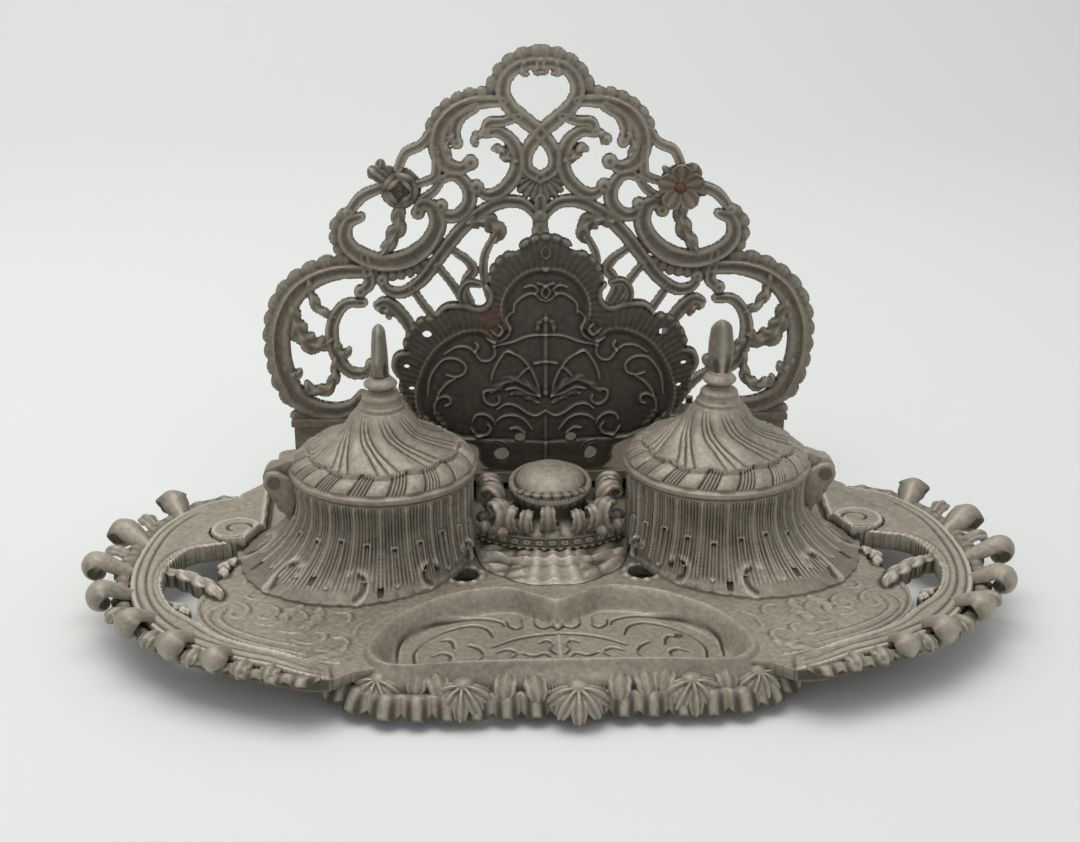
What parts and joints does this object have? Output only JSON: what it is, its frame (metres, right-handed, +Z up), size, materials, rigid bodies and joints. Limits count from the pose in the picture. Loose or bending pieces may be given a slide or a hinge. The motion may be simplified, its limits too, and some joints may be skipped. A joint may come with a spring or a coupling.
{
  "type": "desk inkstand",
  "caption": "Winged cast-iron inkstand: pen dish, ink wells with hinged domed lids and flame finials, a domed centre piece, and a pierced scrollwork letter rack.",
  "frame": {"origin": "on the table, below the middle of the bounding box with the lids closed", "axes": "+X to the right along the width, +Y to the back, towards the letter rack, +Z up"},
  "size_m": [0.325, 0.2, 0.1776],
  "materials": {
    "iron": "semi-matte cast iron with a pewter sheen and dark hollows",
    "dark_iron": "darker semi-matte cast iron",
    "steel": "dull steel, aged",
    "glass": "clear pressed glass"
  },
  "bodies": {
    "stand": {"base_tray": "iron", "well_housing_left": "iron", "well_housing_right": "iron", "ink_glass_left": "glass", "ink_glass_right": "glass", "hinge_pin_left": "steel", "hinge_pin_right": "steel", "centre_pedestal": "iron", "centre_boss": "iron", "rack_base": "iron", "front_plate": "dark_iron", "back_plate": "iron", "plate_rose": "iron", "plate_flower": "iron", "flower_rivets": "steel", "rack_knob": "iron", "housing_screws": "steel", "pedestal_screw": "steel", "rack_screws": "steel", "plate_screws": "steel"},
    "left_lid": {"lid_left": "iron", "finial_left": "iron", "finial_nut_left": "steel"},
    "right_lid": {"lid_right": "iron", "finial_right": "iron", "finial_nut_right": "steel"}
  },
  "joints": [
    {"name": "lid_left_hinge", "type": "hinge", "parent": "stand", "child": "left_lid", "pos_m": [-0.0958, 0.0085, 0.043], "axis": [0, -1, 0], "range_deg": [0, 100]},
    {"name": "lid_right_hinge", "type": "hinge", "parent": "stand", "child": "right_lid", "pos_m": [0.0958, 0.0085, 0.043], "axis": [0, 1, 0], "range_deg": [0, 100]}
  ]
}
